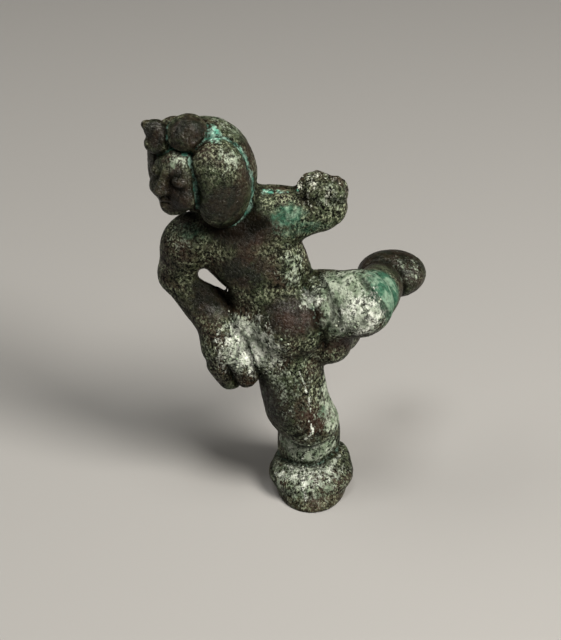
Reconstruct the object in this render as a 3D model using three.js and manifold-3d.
// Dancer figurine: a small bronze cast solid in one piece. A chubby dancer stands on one foot,
// kicks the other leg out and back, sets one hand on the hip and turns the head over that arm.
// The other arm ends in a broken stump. Millimetres, +Z up. The figure faces -Y, and the origin
// is the middle of the flat sole. The dancer's own left is towards +X.
import * as THREE from 'three';
import Module from 'manifold-3d';

// Driving sizes
const TORSO_DEPTH_AT = 0.3;    // y of the plane that the trunk and both arms lie in
const BODY_CELL = 1.18;        // size of the facets on trunk and limbs
const HAIR_CELL = 0.98;        // size of the facets on skull and hair
const FACE_CELL = 0.64;        // size of the facets on the face, which carries finer carving
const SOFT_FLESH = 1.2;        // width over which one mass of flesh melts into the next
const CREASE = 0.35;           // width of a fold between two masses that only touch
const FINGER_CREASE = 0.3;
const BRONZE_BROWN = 0x4a4a38;

// Landmarks of the body: the middle of each mass, and its radius or radii
const CHEST = { at: [-9.1, TORSO_DEPTH_AT, 40.9], radii: [6.56, 4.12, 5.25], lean: 0.35, turn: 0.1 };
const WAIST = { at: [-6.0, TORSO_DEPTH_AT, 35.2], radii: [6.53, 4.45, 9.47], lean: 0.62, turn: 0 };
const FLANK = { at: [-2.6, TORSO_DEPTH_AT, 37.1], radii: [2.5, 3.3, 4.3] };
const BELLY = { at: [-2.1, -0.8, 28.2], radii: [6.05, 5.75, 6.02] };
const NECK = {
  from: [-9.6, TORSO_DEPTH_AT, 42.7],
  to: [-11.6, TORSO_DEPTH_AT, 46.4],
  girth: [3.55, 3.15],
};
const NAPE = {
  from: [-7.1, TORSO_DEPTH_AT, 45.2],
  to: [-8.3, TORSO_DEPTH_AT, 47.5],
  girth: [2.42, 2.41],
};
const HIP = { at: [-8.3, -0.3, 27.4], radii: [3.93, 3.64, 4.41] };
const GROIN = { at: [-6.3, -0.9, 23.5], radii: [3.75, 3.66, 3.95] };
const HAM = { at: [3.3, 0.2, 24.3], radii: [3.5, 4.2, 3.6] };
const BUTTOCKS = [
  { at: [-0.8, 5.1, 22.0], radii: [4.62, 4.52, 4.72] },
  { at: [3.7, 5.2, 23.5], radii: [4.7, 5.0, 4.5] },
];

// The raised arm, broken off below the elbow
const RAISED_ARM = {
  from: [-4.9, TORSO_DEPTH_AT, 44.3],
  to: [3.7, TORSO_DEPTH_AT, 44.6],
  girth: [3.54, 2.42],
};
const ARM_UNDERSIDE = {
  from: [-4.2, TORSO_DEPTH_AT, 41.9],
  to: [2.4, TORSO_DEPTH_AT, 43.3],
  girth: [3.18, 2.15],
};
const STUMP = { at: [2.0, 0.5, 46.7], radii: [3.16, 2.78, 2.69] };
const STUMP_CORNER = { at: [4.3, TORSO_DEPTH_AT, 47.0], radii: [1.76, 2.41, 2.04] };

// The bent arm, with the hand set low on the hip
const SHOULDER = { at: [-14.9, TORSO_DEPTH_AT, 40.3], radii: [3.85, 3.57, 3.85] };
const UPPER_ARM = { from: [-15.6, TORSO_DEPTH_AT, 39.5], to: [-17.0, 0.7, 35.0], girth: [3.85, 3.1] };
const FOREARM = { from: [-16.9, 0.7, 34.8], to: [-12.6, -1.9, 29.1], girth: [2.94, 2.76] };
const WRIST = { from: [-12.6, -1.9, 29.1], to: [-11.4, -2.7, 25.7], girth: [2.66, 2.96] };
const HAND = { at: [-11.0, -2.9, 25.1], radii: [3.25, 2.48, 3.4] };
const FINGERS = [
  { from: [-11.7, -2.9, 22.5], to: [-10.6, -2.5, 19.9], girth: [2.11, 1.85] },
  { from: [-9.1, -3.5, 23.2], to: [-8.3, -3.3, 20.6], girth: [2.01, 1.75] },
];
// The narrow daylight between the forearm and the ribs runs back and down at the slope of along
const ARM_GAP = {
  from: [-13.8, 0.5, 34.7],
  to: [-10.6, 0.5, 32.1],
  girth: [0.75, 0.25],
  along: [-0.03, 0.875, -0.483],
};

// The legs
const THIGH = { from: [-2.7, -0.3, 22.6], to: [-1.35, -1.35, 14.6], girth: [4.7, 4.6] };
const KNEE = { at: [0.4, -1.5, 11.7], radii: [4.2, 4.4, 3.3] };
const KNEE_BACK = { at: [-0.6, 1.4, 13.4], radii: [3.6, 3.7, 4.2] };
const SHIN = { from: [0.3, 1.3, 8.5], to: [0.3, 1.5, 3.7], girth: [4.5, 4.55] };
const RAISED_THIGH = { from: [2.1, 0.1, 29.3], to: [6.8, -1.7, 30.7], girth: [5.2, 4.6] };
const RAISED_KNEE = { at: [8.3, -1.9, 30.7], radii: [3.85, 3.85, 3.95] };
const RAISED_SHIN = { from: [9.3, 0.9, 30.2], to: [11.1, 8.6, 27.7], girth: [3.75, 3.35] };
const RAISED_FOOT = { at: [12.8, 11.9, 27.75], radii: [4.95, 4.6, 3.1] };
const FOOT_LUMPS = [
  { at: [0.6, -0.6, 2.35], radii: [6.0, 6.0, 3.0] },
  { at: [2.7, 0.6, 3.7], radii: [3.5, 4.2, 2.8] },
  { at: [-1.2, 1.0, 3.0], radii: [3.7, 5.0, 2.7] },
  { at: [0.5, -0.4, 0.4], radii: [5.1, 7.45, 2.6] },
  { at: [-1.3, 2.4, 0.5], radii: [4.3, 5.0, 2.7] },
];

// The head has its own axes: to the dancer's left, forward out of the face, and up to the crown
const HEAD_AT = [-13.15, 0.1, 50.88];
const HEAD_TURN = 45;    // degrees towards the dancer's right
const HEAD_NOD = 4;      // degrees down
const HEAD_TILT = 5;     // degrees towards the dancer's right shoulder
const SKULL = { at: [0, -0.46, 0.45], radii: [6.35, 6.4, 6.55] };
const SIDE_BAND = { at: [4.0, -0.3, -0.3], radii: [3.3, 4.9, 6.1] };
const SIDE_ROLL = { at: [4.4, 0.45, -0.6], radii: [3.45, 4.5, 6.1] };
const FORE_ROLL = { at: [3.5, 1.5, 3.2], radii: [3.2, 3.2, 3.3] };
const FACE = { at: [0, 3.13, 0.64], radii: [4.42, 4.23, 4.78] };
const CHIN = { at: [0, 5.43, -2.76], radii: [1.93, 1.93, 1.66] };
const EYE_SOCKET = { at: [1.93, 7.82, 1.75], radii: [1.56, 1.38, 1.01] };
const EYE = { at: [1.93, 6.25, 1.66], radii: [1.2, 0.83, 0.74] };
const CHEEK = { at: [2.21, 5.7, -0.92], radii: [1.75, 1.38, 1.47] };
const NOSE = { from: [0, 6.81, 2.48], to: [0, 7.91, 0.18], girth: [0.51, 0.78] };
const LIPS = { at: [0, 6.71, -1.47], radii: [1.38, 0.74, 0.46] };
// The knot of hair and the pointed lock over the forehead, placed in the figure's own frame
const KNOT = { at: [-14.85, -1.9, 56.95], radii: [2.8, 3.25, 2.62] };
const KNOB = { at: [-14.3, -3.5, 58.2], radii: [1.4, 1.4, 1.4] };
const LOCKS = [
  { from: [-18.1, -0.5, 56.0], to: [-19.3, -0.4, 57.0], girth: [2.36, 1.4] },
  { from: [-19.0, -0.7, 57.3], to: [-20.4, -0.6, 57.9], girth: [1.2, 0.65] },
  { from: [-17.6, -1.9, 54.9], to: [-19.5, -0.6, 55.2], girth: [1.36, 1.3] },
];

// A form is a function of x, y and z that gives the distance to its skin, negative inside.

function ellipsoid({ at, radii }, axes = null) {
  const [a, b, c] = radii;
  return (x, y, z) => {
    let dx = x - at[0];
    let dy = y - at[1];
    let dz = z - at[2];
    if (axes) {
      [dx, dy, dz] = axes.map((row) => row.x * dx + row.y * dy + row.z * dz);
    }
    const scaled = Math.hypot(dx / a, dy / b, dz / c);
    const slope = Math.hypot(dx / (a * a), dy / (b * b), dz / (c * c));
    return scaled * (scaled - 1) / Math.max(slope, 1e-9);
  };
}

// A limb with round ends, whose radius goes over gently from one end to the other
function roundTaper({ from, to, girth }) {
  const start = new THREE.Vector3(...from);
  const run = new THREE.Vector3(...to).sub(start);
  const length2 = run.lengthSq();
  return (x, y, z) => {
    const dx = x - start.x;
    const dy = y - start.y;
    const dz = z - start.z;
    const t = THREE.MathUtils.clamp((dx * run.x + dy * run.y + dz * run.z) / length2, 0, 1);
    const reach = Math.hypot(dx - t * run.x, dy - t * run.y, dz - t * run.z);
    return reach - THREE.MathUtils.lerp(girth[0], girth[1], THREE.MathUtils.smoothstep(t, 0, 1));
  };
}

// A round-ended slot that runs right through the figure in the direction along
function throughSlot({ from, to, girth, along }) {
  const axis = new THREE.Vector3(...along).normalize();
  const flatten = (v) => v.clone().addScaledVector(axis, -v.dot(axis));
  const start = flatten(new THREE.Vector3(...from));
  const end = flatten(new THREE.Vector3(...to));
  const flat = roundTaper({ from: start.toArray(), to: end.toArray(), girth });
  return (x, y, z) => {
    const depth = x * axis.x + y * axis.y + z * axis.z;
    return flat(x - depth * axis.x, y - depth * axis.y, z - depth * axis.z);
  };
}

function softMin(a, b, width) {
  const overlap = Math.max(width - Math.abs(a - b), 0) / width;
  return Math.min(a, b) - overlap * overlap * width / 4;
}

const join = (width, ...forms) => (x, y, z) =>
  forms.reduce((distance, form) => softMin(distance, form(x, y, z), width), Infinity);

const carve = (width, form, tool) => (x, y, z) => -softMin(-form(x, y, z), tool(x, y, z), width);

// Axes of a mass that leans towards the dancer's right as it rises, as rows of a matrix
function leaningAxes(forward, up) {
  const f = forward.clone().normalize();
  const side = up.clone().cross(f).normalize();
  return [side, f, f.clone().cross(side)];
}

function headAxes() {
  const turn = THREE.MathUtils.degToRad(HEAD_TURN);
  const nod = THREE.MathUtils.degToRad(HEAD_NOD);
  const tilt = THREE.MathUtils.degToRad(HEAD_TILT);
  const forward = new THREE.Vector3(
    -Math.sin(turn) * Math.cos(nod), -Math.cos(turn) * Math.cos(nod), -Math.sin(nod));
  const upright = leaningAxes(forward, new THREE.Vector3(0, 0, 1));
  return upright.map((row) => row.applyAxisAngle(forward, -tilt));
}

function buildTrunk() {
  const [chest, waist] = [CHEST, WAIST].map((mass) => ellipsoid(mass, leaningAxes(
    new THREE.Vector3(-mass.turn, -1, 0), new THREE.Vector3(-mass.lean, 0, 1))));
  const ribs = join(1.8, join(1.6, chest, waist), ellipsoid(FLANK));
  return join(1.0, ribs, ellipsoid(BELLY), roundTaper(NECK), roundTaper(NAPE));
}

function addRaisedArm(trunk) {
  const stump = join(0.6, ellipsoid(STUMP), ellipsoid(STUMP_CORNER));
  const withArm = join(SOFT_FLESH, trunk, roundTaper(RAISED_ARM), roundTaper(ARM_UNDERSIDE));
  return join(CREASE, withArm, stump);
}

function addBentArm(body) {
  const arm = join(0.5, roundTaper(UPPER_ARM), roundTaper(FOREARM));
  const withShoulder = join(1.4, body, ellipsoid(SHOULDER));
  const withArm = join(CREASE, withShoulder, arm);
  const withHip = join(SOFT_FLESH, withArm, ellipsoid(HIP), ellipsoid(GROIN));
  const palmAxes = leaningAxes(new THREE.Vector3(0, -1, 0.2), new THREE.Vector3(0.12, 0, 1));
  const palm = join(0.8, ellipsoid(HAND, palmAxes), roundTaper(WRIST));
  const fingers = join(0.9, ...FINGERS.map(roundTaper));
  const hand = join(0.5, palm, fingers);
  return carve(CREASE, join(FINGER_CREASE, withHip, hand), throughSlot(ARM_GAP));
}

function addLegs(body) {
  const thigh = join(1.6, roundTaper(THIGH), ellipsoid(KNEE));
  const bending = join(FINGER_CREASE, join(1.0, body, thigh), roundTaper(SHIN));
  const standing = join(1.4, bending, ellipsoid(KNEE_BACK));
  const raisedThigh = join(1.8, roundTaper(RAISED_THIGH), ellipsoid(RAISED_KNEE));
  const raised = join(1.4, join(0.9, standing, raisedThigh), ellipsoid(HAM));
  const seat = join(1.4, raised, join(CREASE, ...BUTTOCKS.map((buttock) => ellipsoid(buttock))));
  const kicked = join(CREASE, seat, roundTaper(RAISED_SHIN), ellipsoid(RAISED_FOOT));
  const foot = join(0.6, ...FOOT_LUMPS.map((lump) => ellipsoid(lump)));
  return join(CREASE, kicked, foot);
}

const mirrored = ({ at, radii }, side) => ({ at: [side * at[0], at[1], at[2]], radii });

function buildFace(place) {
  const sides = [1, -1];
  let face = join(1.0, place(ellipsoid, FACE), place(ellipsoid, CHIN));
  for (const side of sides) {
    face = carve(0.8, face, place(ellipsoid, mirrored(EYE_SOCKET, side)));
    face = join(0.2, face, place(ellipsoid, mirrored(EYE, side)));
    face = join(1.0, face, place(ellipsoid, mirrored(CHEEK, side)));
  }
  return join(0.3, join(0.5, face, place(roundTaper, NOSE)), place(ellipsoid, LIPS));
}

// The head is two forms: skull with hair, and the face set into it
function buildHead() {
  const axes = headAxes();
  const toFigure = ([side, forward, up]) => new THREE.Vector3(...HEAD_AT)
    .addScaledVector(axes[0], side)
    .addScaledVector(axes[1], forward)
    .addScaledVector(axes[2], up)
    .toArray();
  const place = (make, size) => (size.at
    ? make({ at: toFigure(size.at), radii: size.radii }, axes)
    : make({ from: toFigure(size.from), to: toFigure(size.to), girth: size.girth }));
  const sides = [1, -1];
  const bands = sides.map((side) => place(ellipsoid, mirrored(SIDE_BAND, side)));
  const rolls = sides.map((side) => join(2.2,
    place(ellipsoid, mirrored(SIDE_ROLL, side)), place(ellipsoid, mirrored(FORE_ROLL, side))));
  const cap = join(1.0, place(ellipsoid, SKULL), ...bands);
  const topknot = join(CREASE, ellipsoid(KNOT), ellipsoid(KNOB));
  const horn = join(0.4, ...LOCKS.map(roundTaper));
  const hair = join(0.2, join(FINGER_CREASE, cap, ...rolls), topknot, horn);
  return { hair, face: buildFace(place) };
}

// The twelve edges of a grid cell, each as its lower corner and the axis it runs along
const CORNERS = [0, 1].flatMap((c) => [0, 1].flatMap((b) => [0, 1].map((a) => [a, b, c])));
const CELL_EDGES = CORNERS.flatMap((corner) => [0, 1, 2]
  .filter((axis) => corner[axis] === 0)
  .map((axis) => ({ corner, axis, far: corner.map((n, i) => (i === axis ? 1 : n)) })));
const edgeNumber = (corner, axis) => CELL_EDGES
  .findIndex((edge) => edge.axis === axis && edge.corner.every((n, i) => n === corner[i]));

// The six sides of a cell, each as its four corners in order and the edges between them
const CELL_SIDES = [0, 1, 2].flatMap((normal) => [0, 1].map((level) => {
  const [u, v] = [(normal + 1) % 3, (normal + 2) % 3];
  const corners = [[0, 0], [1, 0], [1, 1], [0, 1]].map(([cu, cv]) => {
    const corner = [0, 0, 0];
    corner[normal] = level;
    corner[u] = cu;
    corner[v] = cv;
    return corner;
  });
  const edges = [edgeNumber(corners[0], u), edgeNumber(corners[1], v), edgeNumber(corners[3], u),
    edgeNumber(corners[0], v)];
  return { corners, edges };
}));

// Pairs of crossed edges that the skin links across one side of a cell. Where all four edges are
// crossed, the middle of the side says whether the two inner corners join or stay apart.
function linksAcrossSide({ corners, edges }, valueAt) {
  const inner = corners.map((corner) => valueAt(corner) < 0);
  const crossed = edges.filter((_, i) => inner[i] !== inner[(i + 1) % 4]);
  if (crossed.length < 4) return crossed.length === 2 ? [crossed] : [];
  const middle = corners.reduce((sum, corner) => sum + valueAt(corner), 0);
  const aroundFirst = (middle < 0) !== inner[0];
  return aroundFirst
    ? [[edges[3], edges[0]], [edges[1], edges[2]]]
    : [[edges[0], edges[1]], [edges[2], edges[3]]];
}

// Slides a vertex along the slope of the form until it lies on the skin, within its own cell
function slideOntoSkin(form, start, cell) {
  const step = 0.02;
  const limit = cell * 0.5;
  const p = start.clone();
  for (let round = 0; round < 3; round += 1) {
    const distance = form(p.x, p.y, p.z);
    const slope = new THREE.Vector3(
      form(p.x + step, p.y, p.z) - form(p.x - step, p.y, p.z),
      form(p.x, p.y + step, p.z) - form(p.x, p.y - step, p.z),
      form(p.x, p.y, p.z + step) - form(p.x, p.y, p.z - step)).divideScalar(2 * step);
    p.addScaledVector(slope, -distance / Math.max(slope.lengthSq(), 0.25));
  }
  return p.clamp(start.clone().subScalar(limit), start.clone().addScalar(limit));
}

// The skin of a form as facets: one vertex for each separate patch of skin in a grid cell, and
// one four-sided facet around each grid edge that the skin crosses.
function facetSkin(form, box, cell) {
  const cells = box.getSize(new THREE.Vector3()).divideScalar(cell).ceil();
  const [nx, ny, nz] = cells.toArray().map((n) => n + 1);
  const place = ([i, j, k]) => new THREE.Vector3(i, j, k).multiplyScalar(cell).add(box.min);
  const index = ([i, j, k]) => (k * ny + j) * nx + i;
  const plus = (p, q) => p.map((n, axis) => n + q[axis]);
  const values = new Float64Array(nx * ny * nz);
  const everyCell = (first, visit) => {
    for (let k = first; k < nz - 1; k += 1) {
      for (let j = first; j < ny - 1; j += 1) {
        for (let i = first; i < nx - 1; i += 1) visit([i, j, k]);
      }
    }
  };
  for (let n = 0; n < values.length; n += 1) {
    const at = place([n % nx, Math.floor(n / nx) % ny, Math.floor(n / (nx * ny))]);
    values[n] = form(at.x, at.y, at.z);
  }

  const vertices = [];
  const vertexAt = new Map();
  everyCell(0, (lowest) => {
    const valueAt = (corner) => values[index(plus(lowest, corner))];
    const patchOf = CELL_EDGES.map((_, n) => n);
    const links = CELL_SIDES.flatMap((side) => linksAcrossSide(side, valueAt));
    for (const [one, other] of links) {
      const [kept, gone] = [patchOf[one], patchOf[other]];
      patchOf.forEach((patch, n) => {
        if (patch === gone) patchOf[n] = kept;
      });
    }
    const crossings = new Map();
    CELL_EDGES.forEach((edge, n) => {
      const [here, there] = [valueAt(edge.corner), valueAt(edge.far)];
      if ((here < 0) === (there < 0)) return;
      const far = place(plus(lowest, edge.far));
      const point = place(plus(lowest, edge.corner)).lerp(far, here / (here - there));
      const patch = crossings.get(patchOf[n]) ?? { points: [], edges: [] };
      patch.points.push(point);
      patch.edges.push(n);
      crossings.set(patchOf[n], patch);
    });
    for (const { points, edges } of crossings.values()) {
      const total = points.reduce((sum, p) => sum.add(p), new THREE.Vector3());
      const middle = total.divideScalar(points.length);
      edges.forEach((n) => vertexAt.set(index(lowest) * 12 + n, vertices.length));
      vertices.push(slideOntoSkin(form, middle, cell));
    }
  });

  const triangles = [];
  everyCell(1, (lowest) => {
    const inside = values[index(lowest)] < 0;
    for (let axis = 0; axis < 3; axis += 1) {
      const [u, v] = [(axis + 1) % 3, (axis + 2) % 3];
      const step = (onU, onV) => [0, 1, 2].map((n) => (n === u ? onU : 0) + (n === v ? onV : 0));
      const next = plus(lowest, [0, 1, 2].map((n) => Number(n === axis)));
      if (inside === (values[index(next)] < 0)) continue;
      const ring = [[0, 0], [1, 0], [1, 1], [0, 1]].map(([onU, onV]) => vertexAt.get(
        index(plus(lowest, step(-onU, -onV))) * 12 + edgeNumber(step(onU, onV), axis)));
      if (!inside) ring.reverse();
      triangles.push(...splitOnShorterDiagonal(ring, vertices));
    }
  });
  return { vertices, triangles };
}

function splitOnShorterDiagonal([a, b, c, d], vertices) {
  const first = vertices[a].distanceTo(vertices[c]);
  const second = vertices[b].distanceTo(vertices[d]);
  return first < second ? [a, b, c, a, c, d] : [b, c, d, b, d, a];
}

const wasm = await Module();
wasm.setup();

function toSolid({ vertices, triangles }) {
  return new wasm.Manifold(new wasm.Mesh({
    numProp: 3,
    vertProperties: new Float32Array(vertices.flatMap((p) => p.toArray())),
    triVerts: new Uint32Array(triangles),
  }));
}

// A block below the floor line, which trims the lowest lump into a true flat sole
function blockBelowFloor() {
  const [x, y, z] = [20, 24, 8];
  const corners = [0, 1].flatMap((k) => [[-x, -y], [x, -y], [x, y], [-x, y]]
    .map(([px, py]) => new THREE.Vector3(px, py, (k - 1) * z)));
  const triangles = [0, 2, 1, 0, 3, 2, 4, 5, 6, 4, 6, 7];
  for (let side = 0; side < 4; side += 1) {
    const next = (side + 1) % 4;
    triangles.push(side, next, next + 4, side, next + 4, side + 4);
  }
  return toSolid({ vertices: corners, triangles });
}

function toGeometry(solid) {
  const mesh = solid.getMesh();
  const geometry = new THREE.BufferGeometry();
  geometry.setAttribute('position', new THREE.BufferAttribute(new Float32Array(mesh.vertProperties), 3));
  geometry.setIndex(new THREE.BufferAttribute(new Uint32Array(mesh.triVerts), 1));
  geometry.computeVertexNormals();
  return geometry;
}

const boxAround = (low, high) => new THREE.Box3(new THREE.Vector3(...low), new THREE.Vector3(...high));

function castFigure() {
  const bodyForm = addLegs(addBentArm(addRaisedArm(buildTrunk())));
  const headForms = buildHead();
  const body = toSolid(facetSkin(bodyForm, boxAround([-22, -10, -6.2], [19, 19, 53]), BODY_CELL));
  const hair = toSolid(facetSkin(headForms.hair, boxAround([-24, -11, 40], [-3, 11, 62]), HAIR_CELL));
  const face = toSolid(facetSkin(headForms.face, boxAround([-23, -11, 43], [-8, 3, 60]), FACE_CELL));
  return body.add(hair).add(face).subtract(blockBelowFloor());
}

const dancer = new THREE.Mesh(
  toGeometry(castFigure()),
  new THREE.MeshStandardMaterial({ color: BRONZE_BROWN, roughness: 0.55, metalness: 0.35 }));
dancer.name = 'dancer_figurine';

const part = new THREE.Group();
part.add(dancer);

export default part;
